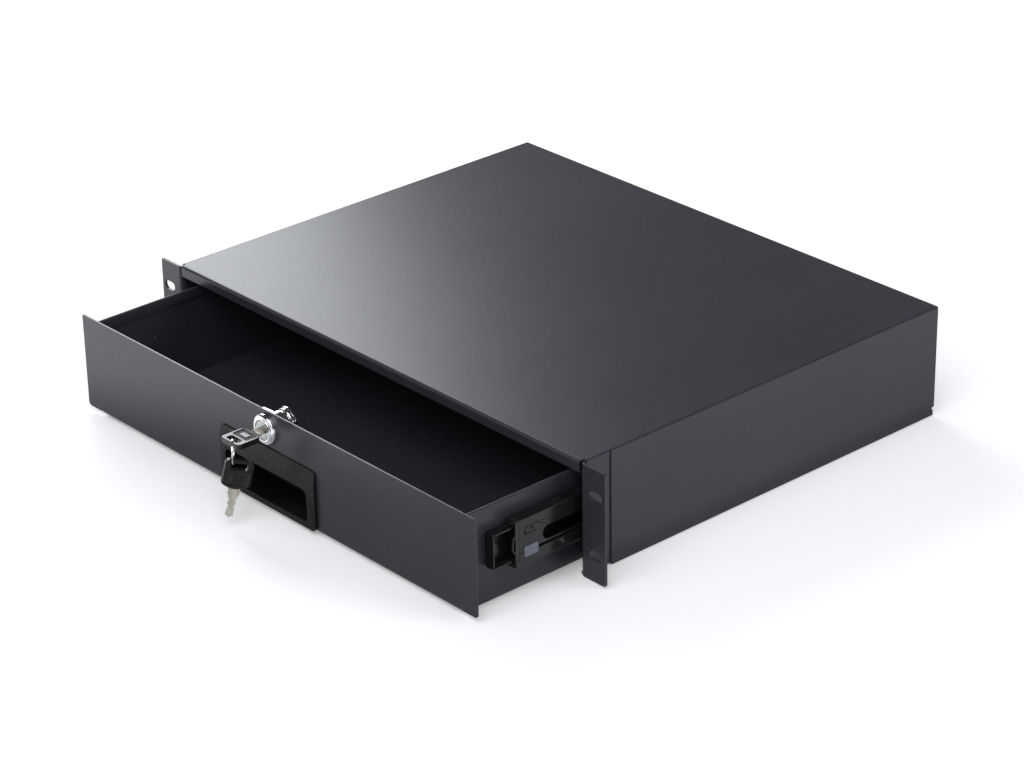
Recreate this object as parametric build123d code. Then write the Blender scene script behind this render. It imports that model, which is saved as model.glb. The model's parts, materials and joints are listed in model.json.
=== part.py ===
from build123d import *
from math import cos, radians, sin
import os

# Sliding drawer, two rack units high, for a 19-inch rack. Millimetres.
# X runs across the front, Y runs back into the rack, Z runs up.
# The origin is the middle of the rack holes, on the seating face of the ears.
# The drawer is shown partly open, as far as drawerOpen.

# Rack front
rackHolePitchX = 465.1
rackHolePitchZ = 44.45
earSpan = 482.6
earHeight = 84.2
earCorner = 1.5
earSlotLength = 12.0
earSlotWidth = 7.0

# Case sheets
caseWidth = 440.0
caseTop = 43.3
caseBottom = -44.0
caseBack = 347.5
chassisSheet = 2.0
coverSheet = 1.0
chassisBendInside = 2.0
floorBendInside = 1.0
floorSetback = 24.0
floorFrontMargin = 3.0
coverSetback = 24.0
coverStripHeight = 3.0
coverRelief = 1.2
coverBend = 1.5
coverHem = 0.8
lipDrop = 9.4
lipReturn = 12.0
lipBend = 2.3
lipGap = 0.4
rearFlange = 12.0
rearRelief = 2.5
rearFlangeFoot = 6.5

# Drawer tray
drawerOpen = 90.7
traySheet = 1.2
trayLength = 336.0
trayBottom = -41.0
trayTop = 30.5
trayBendInside = 1.0
hemDepth = 8.0
hemGap = 0.2
faceTopGap = 0.8
faceSideGap = 0.6
faceWingBottom = -40.1
faceCorner = 2.5
faceTopCorner = 1.0

# Telescopic slide, one on each side
slideThickness = 12.7
slideHeight = 45.0
slideLength = 300.0
slideSheet = 1.2
slideBend = 1.5
outerSlideFront = 6.0
middleFront = -54.0
innerFront = -74.5
webGap = 0.95
innerTipGap = 1.15
outerTip = 2.0
middleTip = 1.9
outerRaceAcross = 7.9
innerRaceAcross = 4.2
outerRaceRadius = 2.15
innerRaceRadius = 2.4
ballGap = 0.15
outerRaceDepth = 0.7
innerRaceDepth = 0.6
cageSheet = 0.45
cageWebGap = 0.25
cageLength = 70.0
outerCageFront = 100.0
innerCageFront = 20.0
ballsPerRow = 4
windowFront = 21.0
windowLength = 73.0
windowHeight = 10.0
endPlateCorner = 2.5

# Fittings on the slide
stopLength = 3.0
stopLoop = 2.8
stopLoopHeight = 13.0
stopWall = 1.1
stopCatchHeight = 6.0
stopCatchDrop = 12.0
stopCatchProud = 0.6
padLength = 12.3
padHeight = 7.9
padFront = 4.2
padDrop = 7.5
padProud = 0.55
tongueLength = 12.0
tongueHeight = 5.0
tongueFront = 5.5
tongueRise = 8.4
tongueProud = 0.5
lanceWidth = 0.8
trackLength = 50.0
trackHeight = 1.5
rodRadius = 0.5
beadRadius = 0.35
dimpleRadius = 2.6
dimpleFront = 39.5
dimpleDrop = 12.0

# Screws
slideScrewShank = 3.9
slideScrewHead = 7.2
slideScrewHeadHeight = 1.8
coverScrewShank = 2.9
coverScrewHead = 6.0
coverScrewHeadHeight = 1.8
coverScrewLength = 5.0
coverScrewRise = 25.0
screwPlay = 0.1
innerScrewPlaces = (36.5, 144.5, 264.5)
outerScrewPlaces = (24.0, 144.0, 274.0)

# Pull handle
handleWidth = 104.4
handleTop = 5.6
handleBottom = -41.0
handleLip = 4.0
handleFoot = 2.7
handleSide = 2.5
handleCorner = 4.5
openingWidth = 89.8
openingTop = -10.3
openingBottom = -35.5
openingCorner = 5.0
cupDepth = 24.0
cupWall = 2.0
cupPlay = 0.3
clipProud = 1.2
clipHeight = 12.0
clipLength = 5.0

# Cam lock
lockRise = 19.2
bezelRadius = 11.6
bezelFace = 8.9
bezelRim = 2.2
bezelProud = 4.7
barrelRadius = 9.5
barrelFlat = 8.4
barrelLength = 12.2
plugRadius = 7.2
plugPlay = 0.05
plugRecess = 0.4
nutFlats = 22.0
nutThickness = 3.0
nutPlay = 0.05
camThickness = 1.8
camReach = 22.5
camHalfWidth = 5.2
camTipHalfWidth = 4.2
camHub = 8.4
camGap = 0.2
driveSquare = 7.0
drivePlay = 0.1
camNutRadius = 10.5
camNutNeck = 9.2
camNutRim = 1.5
camNutThickness = 4.2
studRadius = 3.0

# Keys, ring
keyHeadWidth = 20.5
keyHeadLength = 22.0
keyHeadThickness = 4.0
keyHeadCorner = 3.5
keyHeadArch = 2.4
keyHoleWidth = 12.0
keyHoleHeight = 5.0
keyBar = 2.4
keyPanelDepth = 0.5
keyPanelMargin = 2.4
keyPadLength = 4.6
keyPadWidth = 8.0
keyHeadGap = 11.0
bladeWidth = 8.2
bladeThickness = 2.0
bladeLength = 21.8
bladePlay = 0.08
tangLength = 5.0
ringRadius = 8.7
ringWire = 1.2
ringTurn = 49.0
ringAcross = 2.6
ringPlay = 0.4
spareTurn = 60.0
spareTilt = 14.0
spareShift = 4.2

# Places that follow from the sizes above
caseHalf = caseWidth / 2
chassisOuter = caseHalf - coverSheet
chassisInner = chassisOuter - chassisSheet
earFront = -chassisSheet
earBendOutside = chassisBendInside + chassisSheet
chassisTop = caseTop - coverSheet
chassisBack = caseBack - coverSheet
floorTop = caseBottom + chassisSheet
lipBottom = caseTop - lipDrop
lipBack = earFront + lipReturn
faceFront = earFront - drawerOpen
faceBack = faceFront + traySheet
faceTop = lipBottom - faceTopGap
faceHalf = chassisInner - faceSideGap
trayHalf = chassisInner - slideThickness
trayBack = faceFront + trayLength
innerTipAcross = slideThickness - 2 * slideSheet - webGap - innerTipGap
middleWebOut = slideThickness - slideSheet - webGap
middleWebIn = middleWebOut - slideSheet
outerCageOut = slideThickness - slideSheet - cageWebGap
innerCageOut = middleWebIn - cageWebGap - 0.1
outerBall = outerRaceRadius - ballGap
innerBall = innerRaceRadius - ballGap
outerRaceRise = slideHeight / 2 - slideSheet - outerRaceRadius
middleRise = outerRaceRise - outerRaceRadius + outerRaceDepth
innerRaceRise = middleRise - slideSheet - innerRaceRadius + innerRaceDepth
innerRise = innerRaceRise - innerRaceRadius + innerRaceDepth
plugFront = faceFront - bezelProud + plugRecess
barrelBack = faceFront + barrelLength
camFront = barrelBack + camGap
camNutFront = camFront + camThickness
keyStart = faceFront - keyHeadGap
slotFarEdge = keyHeadLength - keyBar

os.makedirs("parts", exist_ok=True)


def block(x0, x1, y0, y1, z0, z1):
    middle = Pos((x0 + x1) / 2, (y0 + y1) / 2, (z0 + z1) / 2)
    return middle * Box(x1 - x0, y1 - y0, z1 - z0)


def rect(a0, a1, b0, b1):
    return Pos((a0 + a1) / 2, (b0 + b1) / 2) * Rectangle(abs(a1 - a0), abs(b1 - b0))


def alongX(shape, x0, x1):
    """Extrude a (Y, Z) outline from x0 to x1."""
    return extrude(Plane.YZ.offset(x0) * shape, amount=x1 - x0)


def alongY(shape, y0, y1):
    """Extrude an (X, Z) outline from y0 to y1."""
    return extrude(Plane.XZ.offset(-y0) * shape, amount=-(y1 - y0))


def alongZ(shape, z0, z1):
    """Extrude an (X, Y) outline from z0 to z1."""
    return extrude(Plane.XY.offset(z0) * shape, amount=z1 - z0)


def rodY(radius, x, z, y0, y1):
    return alongY(Pos(x, z) * Circle(radius), y0, y1)


def rodX(radius, y, z, x0, x1):
    return alongX(Pos(y, z) * Circle(radius), x0, x1)


def outline(points):
    return make_face(Polyline(*points, close=True))


def bothSides(shape):
    return shape + mirror(shape, about=Plane.YZ)


def save(name, shape):
    export_step(shape, "parts/" + name + ".step")


def bentChannel(half, bottom, top, sheet, inside):
    """U-shaped sheet outline in (X, Z) with two rounded bends at the bottom."""
    outside = inside + sheet
    outer = fillet(rect(-half, half, bottom, top + outside).vertices().group_by(Axis.Y)[0], outside)
    inner = fillet(
        rect(-half + sheet, half - sheet, bottom + sheet, top + outside).vertices().group_by(Axis.Y)[0], inside
    )
    return (outer - inner) & rect(-half, half, bottom, top)


# Case

def earSheet():
    """Front end of one side wall, bent outward into the rack ear."""
    centre = (chassisInner + earBendOutside, earFront + earBendOutside)
    corner = Pos(*centre) * (Circle(earBendOutside) - Circle(chassisBendInside))
    corner = corner & rect(chassisInner, centre[0], earFront, centre[1])
    plate = rect(centre[0], earSpan / 2, earFront, 0)
    sheet = alongZ(corner + plate, -earHeight / 2, earHeight / 2)
    corners = sheet.edges().filter_by(Axis.Y).group_by(Axis.X)[-1]
    sheet = fillet(corners, earCorner)
    for z in (-rackHolePitchZ / 2, rackHolePitchZ / 2):
        slot = Pos(rackHolePitchX / 2, z) * SlotOverall(earSlotLength, earSlotWidth)
        sheet = sheet - alongY(slot, earFront - 1, 1)
    return sheet


def outerScrewYs():
    return [outerSlideFront + place for place in outerScrewPlaces]


def innerScrewYs():
    return [innerFront + place for place in innerScrewPlaces]


def chassisBase():
    """One sheet: floor, both side walls, both ears and the rear wall."""
    channel = bentChannel(chassisOuter, caseBottom, chassisTop, chassisSheet, floorBendInside)
    outerCorners = channel.vertices().group_by(Axis.Y)[-1].sort_by(Axis.X)
    channel = chamfer([outerCorners[0], outerCorners[-1]], coverBend - coverSheet)
    shape = alongY(channel, chassisBendInside, chassisBack)
    floorHalf = chassisInner - floorFrontMargin
    shape = shape - block(-floorHalf, floorHalf, -10, earFront + floorSetback, caseBottom - 1, floorTop + 1)
    rear = rect(-chassisInner, chassisInner, floorTop, chassisTop)
    shape = shape + alongY(rear, chassisBack - chassisSheet, chassisBack)
    shape = shape + bothSides(earSheet())
    for y in outerScrewYs():
        hole = rodX(slideScrewShank / 2 + screwPlay, y, 0, chassisInner - 1, chassisOuter)
        shape = shape - bothSides(hole)
    for x, z in coverScrewPlaces():
        shape = shape - rodY(coverScrewShank / 2 + screwPlay, x, z, chassisBack - 5, chassisBack + 1)
    return shape


def coverScrewPlaces():
    sideX = chassisInner - rearFlange / 2
    topZ = caseTop - rearFlange / 2
    places = [(side * sideX, z) for side in (-1, 1) for z in (-coverScrewRise, coverScrewRise - 8)]
    return places + [(side * caseHalf / 2, topZ) for side in (-1, 1)]


def caseCover():
    """Top sheet with side skins, rolled front lip and flanges round the back."""
    skirt = caseBottom + coverHem
    full = bentChannel(caseHalf, -caseTop, -skirt, coverSheet, coverBend - coverSheet)
    full = mirror(full, about=Plane.XZ)
    strip = full & rect(-caseHalf, caseHalf, caseTop - coverStripHeight, caseTop)
    frontStart = chassisBendInside
    shape = alongY(strip, frontStart, coverSetback - coverRelief)
    shape = shape + alongY(full, coverSetback, caseBack)
    roof = rect(-caseHalf + coverBend, caseHalf - coverBend, chassisTop, caseTop)
    shape = shape + alongY(roof, frontStart, caseBack)
    lipHalf = chassisInner - lipGap
    hook = (
        rect(earFront, frontStart + 1, lipBottom, caseTop)
        - rect(earFront + coverSheet, frontStart + 2, lipBottom + coverSheet, chassisTop)
    )
    hook = hook + rect(earFront, lipBack, lipBottom, lipBottom + coverSheet)
    shape = shape + frontHook(hook, lipHalf)
    shape = shape + rearFlanges()
    shape = shape - bothSides(
        block(chassisOuter - 1, caseHalf + 1, caseBack - coverSheet, caseBack + 1,
              skirt - 1, skirt + rearFlangeFoot)
    )
    shape = shape - bothSides(
        block(chassisOuter, caseHalf + 1, caseBack - rearRelief, caseBack + 1,
              skirt + rearFlangeFoot - rearRelief, skirt + rearFlangeFoot)
    )
    for x, z in coverScrewPlaces():
        shape = shape - rodY(coverScrewShank / 2 + screwPlay, x, z, chassisBack - 1, caseBack + 1)
    return shape


def frontHook(hook, lipHalf):
    """Round the two bends of the front lip, then run it across the front."""
    lip = alongX(hook, -lipHalf, lipHalf)
    topEdge = lip.edges().filter_by(Axis.X).sort_by(lambda e: e.center().Y - e.center().Z)[0]
    lip = fillet(topEdge, lipBend)
    lowEdge = lip.edges().filter_by(Axis.X).sort_by(lambda e: e.center().Y + e.center().Z)[0]
    return fillet(lowEdge, coverBend)


def rearFlanges():
    """Flanges that fold round the rear edges, over the rear wall."""
    foot = caseBottom + coverHem + rearFlangeFoot
    side = rect(chassisInner - rearFlange, chassisOuter, foot, chassisTop - coverSheet)
    top = rect(-chassisInner + rearFlange, chassisInner - rearFlange, caseTop - rearFlange, chassisTop)
    return bothSides(alongY(side, chassisBack, caseBack)) + alongY(top, chassisBack, caseBack)


def crossRecess(width, depth):
    bar = Box(width, width / 4, depth, align=(Align.CENTER, Align.CENTER, Align.MAX))
    return bar + Rot(0, 0, 90) * bar


def panScrew(headRadius, headHeight, shankRadius, length):
    """Pan-head screw along -Z, with its head seat at z = 0."""
    head = Pos(0, 0, headHeight / 2) * Cylinder(headRadius, headHeight)
    head = fillet(head.edges().group_by(Axis.Z)[-1], headHeight * 0.6)
    shank = Pos(0, 0, -length / 2) * Cylinder(shankRadius, length)
    recess = Pos(0, 0, headHeight) * crossRecess(headRadius, headHeight * 0.6)
    return head + shank - recess


def flatScrew(headRadius, headHeight, shankRadius, length):
    """Countersunk screw along -Z, with its flat head face at z = 0."""
    head = Pos(0, 0, -headHeight / 2) * Cone(shankRadius, headRadius, headHeight)
    shank = Pos(0, 0, -(headHeight + length) / 2) * Cylinder(shankRadius, length - headHeight)
    return head + shank - crossRecess(headRadius, headHeight * 0.7)


def coverScrews():
    screw = panScrew(coverScrewHead / 2, coverScrewHeadHeight, coverScrewShank / 2, coverScrewLength)
    places = [Pos(x, caseBack, z) * Rot(-90, 0, 0) * screw for x, z in coverScrewPlaces()]
    return Compound(children=places)


# Slide: outlines are in (across, up), across runs from the drawer out to the case

def mirroredUp(shape):
    return shape + mirror(shape, about=Plane.XZ)


def roundedBends(shape, across, rise, inward=-1):
    """Round the two outside corners where the flanges of a slide member meet its web."""
    centre = across + inward * slideBend
    corner = rect(across, centre, rise - slideBend, rise) - race(centre, rise - slideBend, slideBend)
    return shape - mirroredUp(corner)


def race(across, rise, radius):
    return Pos(across, rise) * Circle(radius)


def outerOutline():
    """Case member: a channel with one rolled ball groove at top and bottom."""
    lipRise = outerRaceRise + outerRaceRadius - outerRaceDepth
    flange = rect(outerTip, slideThickness, lipRise, lipRise + slideSheet)
    bump = race(outerRaceAcross, outerRaceRise, outerRaceRadius + slideSheet)
    flange = flange + (bump & rect(outerTip, slideThickness, lipRise, slideHeight))
    flange = flange - race(outerRaceAcross, outerRaceRise, outerRaceRadius)
    web = rect(slideThickness - slideSheet, slideThickness, -lipRise - slideSheet / 2, lipRise + slideSheet / 2)
    return roundedBends(mirroredUp(flange) + web, slideThickness, lipRise + slideSheet)


def middleOutline():
    """Middle member: a groove outside for one ball row and inside for the other."""
    flange = rect(middleTip, middleWebOut, middleRise - slideSheet, middleRise)
    innerBump = race(innerRaceAcross, innerRaceRise, innerRaceRadius + slideSheet)
    flange = flange + (innerBump & rect(middleTip, middleWebOut, middleRise - slideSheet, slideHeight))
    outerBump = race(outerRaceAcross, outerRaceRise, outerRaceRadius + slideSheet)
    flange = flange + (outerBump & rect(middleTip, middleWebOut, 0, middleRise))
    flange = flange - race(outerRaceAcross, outerRaceRise, outerRaceRadius)
    flange = flange - race(innerRaceAcross, innerRaceRise, innerRaceRadius)
    web = rect(middleWebIn, middleWebOut, -middleRise + slideSheet / 2, middleRise - slideSheet / 2)
    return roundedBends(mirroredUp(flange) + web, middleWebOut, middleRise)


def innerOutline():
    """Drawer member: a narrow channel, open outward, grooved on the outside."""
    flange = rect(0, innerTipAcross, innerRise - slideSheet, innerRise)
    bump = race(innerRaceAcross, innerRaceRise, innerRaceRadius + slideSheet)
    flange = flange + (bump & rect(0, innerTipAcross, 0, innerRise))
    flange = flange - race(innerRaceAcross, innerRaceRise, innerRaceRadius)
    web = rect(0, slideSheet, -innerRise + slideSheet / 2, innerRise - slideSheet / 2)
    return roundedBends(mirroredUp(flange) + web, 0, innerRise, 1)


def slidePiece(shape2d, y0, y1):
    return Pos(trayHalf, 0, 0) * alongY(shape2d, y0, y1)


def slideOuter():
    shape = slidePiece(outerOutline(), outerSlideFront, outerSlideFront + slideLength)
    for y in outerScrewYs():
        seat = Pos(chassisInner - slideSheet, y, 0) * Rot(0, -90, 0) * countersink()
        shape = shape - seat
    return shape


def countersink():
    radius = slideScrewShank / 2 + screwPlay
    cone = Pos(0, 0, -slideSheet / 2) * Cone(radius, slideScrewHead / 2 + screwPlay, slideSheet)
    return cone + Pos(0, 0, -2 * slideSheet) * Cylinder(radius, 3 * slideSheet)


def slideOuterScrews():
    length = slideSheet + chassisSheet
    screw = flatScrew(slideScrewHead / 2, slideSheet, slideScrewShank / 2, length)
    places = [Pos(chassisInner - slideSheet, y, 0) * Rot(0, -90, 0) * screw for y in outerScrewYs()]
    return Compound(children=places)


def middleX(across):
    return trayHalf + across


def slideMiddle():
    shape = slidePiece(middleOutline(), middleFront, middleFront + slideLength)
    webX0 = middleX(middleWebIn) - 1
    webX1 = middleX(middleWebOut) + 1
    windowY = middleFront + windowFront + windowLength / 2
    window = Pos(windowY, 0) * SlotOverall(windowLength, windowHeight)
    shape = shape - alongX(window, webX0, webX1)
    tongueY = middleFront + tongueFront + tongueLength / 2
    tongue = Pos(tongueY, tongueRise) * RectangleRounded(tongueLength, tongueHeight, 1.2)
    shape = shape + alongX(tongue, middleX(middleWebOut) - 0.2, middleX(middleWebOut) + tongueProud)
    shape = shape - rodX(0.8, tongueY, tongueRise, webX0, webX1)
    shape = shape - alongX(lanceCut(tongueY), webX0, webX1)
    padY, padZ = padPlace()
    shape = shape - rodX(padStem() + screwPlay, padY, padZ, webX0, webX1)
    trackStart = padY + padLength / 2 + 0.5
    track = rect(trackStart, trackStart + trackLength, padZ - trackHeight / 2, padZ + trackHeight / 2)
    shape = shape - alongX(track, webX0, webX1)
    beadZ = padZ - trackHeight / 2 - beadRadius
    shape = shape + rodY(beadRadius, middleX(middleWebOut), beadZ, trackStart, trackStart + trackLength)
    shape = shape + rodY(rodRadius, middleX(middleWebOut), padZ, middleFront, padY - padLength / 2)
    dimple = Rot(0, 90, 0) * Cone(dimpleRadius, dimpleRadius / 2, tongueProud)
    dimpleX = middleX(middleWebOut) + tongueProud / 2
    return shape + Pos(dimpleX, middleFront + dimpleFront, -dimpleDrop) * dimple


def lanceCut(tongueY):
    """Cut that frees the tongue at its front and lower edges."""
    front = tongueY - tongueLength / 2 - lanceWidth
    low = tongueRise - tongueHeight / 2 - lanceWidth
    upright = rect(front, front + lanceWidth, low, tongueRise - 0.6)
    level = rect(front, tongueY + tongueLength * 0.3, low, low + lanceWidth)
    return upright + level


def padPlace():
    return middleFront + padFront + padLength / 2, -padDrop


def padStem():
    return padHeight / 4


def latchPad():
    """Plastic pad on the middle member, with a stem through its web."""
    y, z = padPlace()
    face = middleX(middleWebOut)
    pad = alongX(Pos(y, z) * RectangleRounded(padLength, padHeight, 1.6), face, face + padProud)
    return pad + rodX(padStem(), y, z, face - slideSheet, face)


def frontStop():
    """Plastic end frame of the middle member, with a springy loop in front."""
    y1 = middleFront
    y0 = middleFront - stopLength
    inner = innerCageOut + 0.1
    outline2d = roundedBends(rect(middleTip, middleWebOut, -middleRise, middleRise), middleWebOut, middleRise)
    passage = rect(middleTip - 1, inner, -innerRise - 0.7, innerRise + 0.7)
    shape = slidePiece(outline2d - passage, y0, y1)
    loop = Pos(y0, 0) * (
        Ellipse(stopLoop, stopLoopHeight / 2)
        - Ellipse(stopLoop - stopWall, stopLoopHeight / 2 - stopWall)
    )
    loop = loop & rect(y0 - stopLoop, y0 + 0.3, -stopLoopHeight, stopLoopHeight)
    shape = shape + alongX(loop, middleX(inner), middleX(middleWebOut))
    catch = rect(y0 + 0.4, y1 + 1.4, -stopCatchDrop - stopCatchHeight, -stopCatchDrop)
    catch = fillet(catch.vertices(), 0.9)
    return shape + alongX(catch, middleX(middleWebOut), middleX(middleWebOut) + stopCatchProud)


def slideInner():
    shape = slidePiece(innerOutline(), innerFront, innerFront + slideLength)
    plate = rect(0, innerTipAcross, -innerRise, innerRise)
    plate = fillet(plate.vertices(), endPlateCorner)
    front = rect(-1, slideThickness, -slideHeight, slideHeight)
    shape = shape - slidePiece(front, innerFront - 1, innerFront + slideSheet)
    shape = shape + slidePiece(plate, innerFront, innerFront + slideSheet)
    for y in innerScrewYs():
        shape = shape - rodX(slideScrewShank / 2 + screwPlay, y, 0, trayHalf - 1, trayHalf + slideSheet + 1)
    return shape


def slideInnerScrews():
    length = slideSheet + traySheet
    screw = panScrew(slideScrewHead / 2, slideScrewHeadHeight, slideScrewShank / 2, length)
    seat = trayHalf + slideSheet
    return Compound(children=[Pos(seat, y, 0) * Rot(0, 90, 0) * screw for y in innerScrewYs()])


def ballYs(front):
    pitch = cageLength / ballsPerRow
    return [front + pitch * (index + 0.5) for index in range(ballsPerRow)]


def cage(front, out, rise, raceAcross, ballRadius):
    """Channel of thin strip with a round hole for each ball."""
    tip = raceAcross - ballRadius - 0.5
    half = rise + cageSheet / 2
    channel = rect(tip, out, -half, half) - rect(tip - 1, out - cageSheet, -half + cageSheet, half - cageSheet)
    shape = slidePiece(channel, front, front + cageLength)
    window = Pos(front + cageLength / 2, 0) * SlotOverall(cageLength * 0.7, rise)
    shape = shape - alongX(window, middleX(out) - 2, middleX(out) + 1)
    for y in ballYs(front):
        hole = Pos(middleX(raceAcross), y, 0) * Cylinder(ballRadius + 0.05, slideHeight)
        shape = shape - hole
    return shape


def balls(front, rise, raceAcross, ballRadius):
    places = [(y, side * rise) for y in ballYs(front) for side in (-1, 1)]
    return Compound(children=[Pos(middleX(raceAcross), y, z) * Sphere(ballRadius) for y, z in places])


# Drawer

def drawerTray():
    """One folded sheet: face, floor, two hemmed sides and the back."""
    channel = bentChannel(trayHalf, trayBottom, trayTop, traySheet, trayBendInside)
    outside = trayBendInside + traySheet
    shape = alongY(channel, faceBack, trayBack)
    hemWidth = 2 * traySheet + hemGap
    hem = rect(trayHalf - hemWidth, trayHalf, trayTop - hemDepth, trayTop)
    hem = fillet(hem.vertices().group_by(Axis.Y)[-1], hemWidth / 2 - 0.05)
    shape = shape - bothSides(block(trayHalf - traySheet - 1, trayHalf + 1, faceFront, trayBack + 1,
                                    trayTop - hemDepth, trayTop + 1))
    shape = shape + bothSides(alongY(hem, faceBack, trayBack))
    back = rect(-trayHalf + traySheet, trayHalf - traySheet, trayBottom + traySheet, trayTop)
    shape = shape + alongY(back, trayBack - traySheet, trayBack)
    shape = shape + faceSheet(outside)
    for y in innerScrewYs():
        shape = shape - bothSides(
            rodX(slideScrewShank / 2 + screwPlay, y, 0, trayHalf - traySheet - 1, trayHalf + 1)
        )
    shape = shape - alongY(lockOutline(nutPlay), faceFront - 1, faceBack + 1)
    return shape - alongY(openingOutline(cupWall + cupPlay), faceFront - 1, faceBack + 1)


def faceSheet(outside):
    """Face plate with wings, and its bend into the floor."""
    plate = rect(-faceHalf, faceHalf, faceWingBottom, faceTop)
    plate = fillet(plate.vertices().group_by(Axis.Y)[0], faceCorner)
    plate = fillet(plate.vertices().group_by(Axis.Y)[-1], faceTopCorner)
    middleHalf = trayHalf - outside
    bendZ = trayBottom + outside
    plate = plate - rect(-middleHalf, middleHalf, faceWingBottom - 1, bendZ)
    face = alongY(plate, faceFront, faceBack)
    bend = Pos(faceFront + outside, bendZ) * (Circle(outside) - Circle(trayBendInside))
    bend = bend & rect(faceFront, faceFront + outside, trayBottom, bendZ)
    return face + alongX(bend, -middleHalf, middleHalf)


def openingOutline(grow):
    width = openingWidth + 2 * grow
    height = openingTop - openingBottom + 2 * grow
    rise = (openingTop + openingBottom) / 2
    return Pos(0, rise) * RectangleRounded(width, height, openingCorner + grow)


def handleCup():
    """Moulded pull: sloping hood and border in front, deep cup behind the face."""
    slope = outline([
        (faceFront, handleTop),
        (faceFront - 1.0, handleTop - 0.6),
        (faceFront - handleLip, openingTop),
        (faceFront - handleFoot, handleBottom + 0.6),
        (faceFront - handleFoot + 0.6, handleBottom),
        (faceFront, handleBottom),
    ])
    bezel = alongX(slope, -handleWidth / 2, handleWidth / 2)
    edge = handleWidth / 2
    ridge = openingWidth / 2 + 0.5
    sides = outline([
        (-edge, faceFront), (-edge, faceFront - handleSide), (-ridge, faceFront - handleLip),
        (ridge, faceFront - handleLip), (edge, faceFront - handleSide), (edge, faceFront)
    ])
    bezel = bezel & alongZ(sides, handleBottom, handleTop)
    height = handleTop - handleBottom
    rounded = Pos(0, (handleTop + handleBottom) / 2) * RectangleRounded(handleWidth, height, handleCorner)
    bezel = bezel & alongY(rounded, faceFront - 2 * handleLip, faceFront)
    cupBack = faceFront + cupDepth
    cup = alongY(openingOutline(cupWall), faceFront, cupBack)
    backEdges = cup.edges().group_by(Axis.Y)[-1]
    cup = fillet(backEdges, cupWall)
    shape = bezel + cup
    shape = shape - alongY(openingOutline(0), faceFront - 2 * handleLip, cupBack - cupWall)
    return shape + bothSides(cupClip())


def cupClip():
    """Snap wedge that holds the cup behind the face sheet."""
    side = openingWidth / 2 + cupWall
    rise = (openingTop + openingBottom) / 2
    start = faceBack + 0.1
    wedge = Plane.XY * outline([
        (side - 0.5, start), (side + clipProud, start), (side, start + clipLength), (side - 0.5, start + clipLength)
    ])
    return alongZ(wedge, rise - clipHeight / 2, rise + clipHeight / 2)


# Lock

def lockOutline(play):
    radius = barrelRadius + play
    flat = barrelFlat + play
    return (Pos(0, lockRise) * Circle(radius)) & rect(-flat, flat, lockRise - 20, lockRise + 20)


def turned(points):
    """Revolve a (radius, Y) outline about the lock axis."""
    profile = Plane.XY * outline(points)
    return Pos(0, 0, lockRise) * revolve(profile, Axis.Y)


def lockHousing():
    """Chromed bezel with a rounded shoulder, and the barrel through the face."""
    front = faceFront - bezelProud
    bore = plugRadius + plugPlay
    rim = faceFront - bezelRim
    bezel = turned([
        (bore, front), (bezelFace, front), (bezelRadius, rim), (bezelRadius, faceFront), (bore, faceFront)
    ])
    circles = bezel.edges().filter_by(GeomType.CIRCLE)
    shoulder = [e for e in circles if abs(e.radius - bezelFace) < 0.01
                or (abs(e.radius - bezelRadius) < 0.01 and e.center().Y < rim + 0.01)]
    bezel = fillet(shoulder, 0.9)
    barrel = alongY(lockOutline(0), faceFront, barrelBack)
    return bezel + barrel - rodY(bore, 0, lockRise, front - 1, barrelBack + 1)


def lockNut():
    nut = Pos(0, lockRise) * RegularPolygon(nutFlats / 2, 6, major_radius=False)
    hole = lockOutline(nutPlay)
    shape = alongY(nut - hole, faceBack, faceBack + nutThickness)
    return shape


def lockPlug():
    """Turning plug with its keyway, square drive and stud."""
    body = rodY(plugRadius, 0, lockRise, plugFront, barrelBack)
    body = chamfer(body.edges().group_by(Axis.Y)[0], 0.4)
    gapBack = alongY(Pos(0, lockRise) * Rectangle(driveSquare, driveSquare), barrelBack, camNutFront)
    stud = rodY(studRadius, 0, lockRise, camNutFront, camNutFront + camNutThickness)
    keyway = Pos(0, lockRise) * Rectangle(bladeWidth + 2 * bladePlay, bladeThickness + 2 * bladePlay)
    keyEnd = keyStart + bladeLength + 0.4
    return body + gapBack + stud - alongY(keyway, plugFront - 1, keyEnd)


def lockCam():
    """Flat cam whose arm points sideways when unlocked."""
    hub = Pos(0, lockRise) * Circle(camHub)
    arm = outline([
        (0, lockRise - camHalfWidth), (0, lockRise + camHalfWidth),
        (-camReach, lockRise + camTipHalfWidth), (-camReach, lockRise - camTipHalfWidth)
    ])
    arm = fillet(arm.vertices().group_by(Axis.X)[0], 2.0)
    square = Pos(0, lockRise) * Rectangle(driveSquare + 2 * drivePlay, driveSquare + 2 * drivePlay)
    return alongY(hub + arm - square, camFront, camNutFront)


def camNut():
    """Round nut with a neck in front and a thin rim behind."""
    back = camNutFront + camNutThickness
    neck = rodY(camNutNeck, 0, lockRise, camNutFront, back)
    nut = neck + rodY(camNutRadius, 0, lockRise, back - camNutRim, back)
    nut = fillet(nut.edges().group_by(Axis.Y)[0], 0.4)
    return nut - rodY(studRadius + nutPlay, 0, lockRise, camNutFront - 1, back + 1)


# Keys: x runs along the blade to its tip, y across, z through the thickness

def keyHeadOutline():
    half = keyHeadWidth / 2
    near = -keyHeadArch
    body = fillet(rect(-keyHeadLength, near, -half, half).vertices(), keyHeadCorner)
    span = half - keyHeadCorner / 2
    radius = (span * span + keyHeadArch * keyHeadArch) / (2 * keyHeadArch)
    cap = (Pos(-radius, 0) * Circle(radius)) & rect(near - keyHeadCorner, 0, -half, half)
    return body + cap


def keyHole():
    place = Pos(-slotFarEdge + keyHoleHeight / 2, 0)
    return place * Rot(0, 0, 90) * RectangleRounded(keyHoleWidth, keyHoleHeight, 1.6)


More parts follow.
